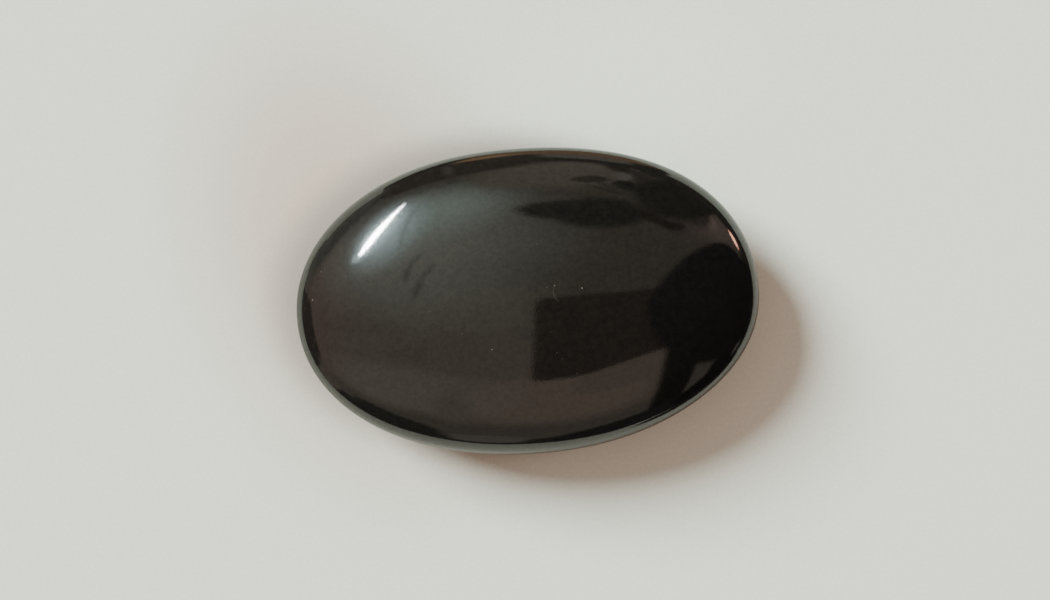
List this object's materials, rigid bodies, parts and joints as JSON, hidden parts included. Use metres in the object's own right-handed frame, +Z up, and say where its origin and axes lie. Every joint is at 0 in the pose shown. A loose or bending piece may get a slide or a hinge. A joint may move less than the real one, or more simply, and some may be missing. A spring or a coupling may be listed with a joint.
{
  "type": "black tourmaline palm stone",
  "caption": "Smooth polished oval stone of black tourmaline, domed on both sides and worn flat underneath, made to be held in the palm.",
  "frame": {"origin": "under the middle of the stone, on the surface that it rests on", "axes": "+X along the stone's length, +Z up through its thickness"},
  "size_m": [0.064, 0.0424, 0.0169],
  "materials": {
    "polished_stone": "polished"
  },
  "bodies": {
    "root": {"palm_stone": "polished_stone"}
  },
  "joints": []
}
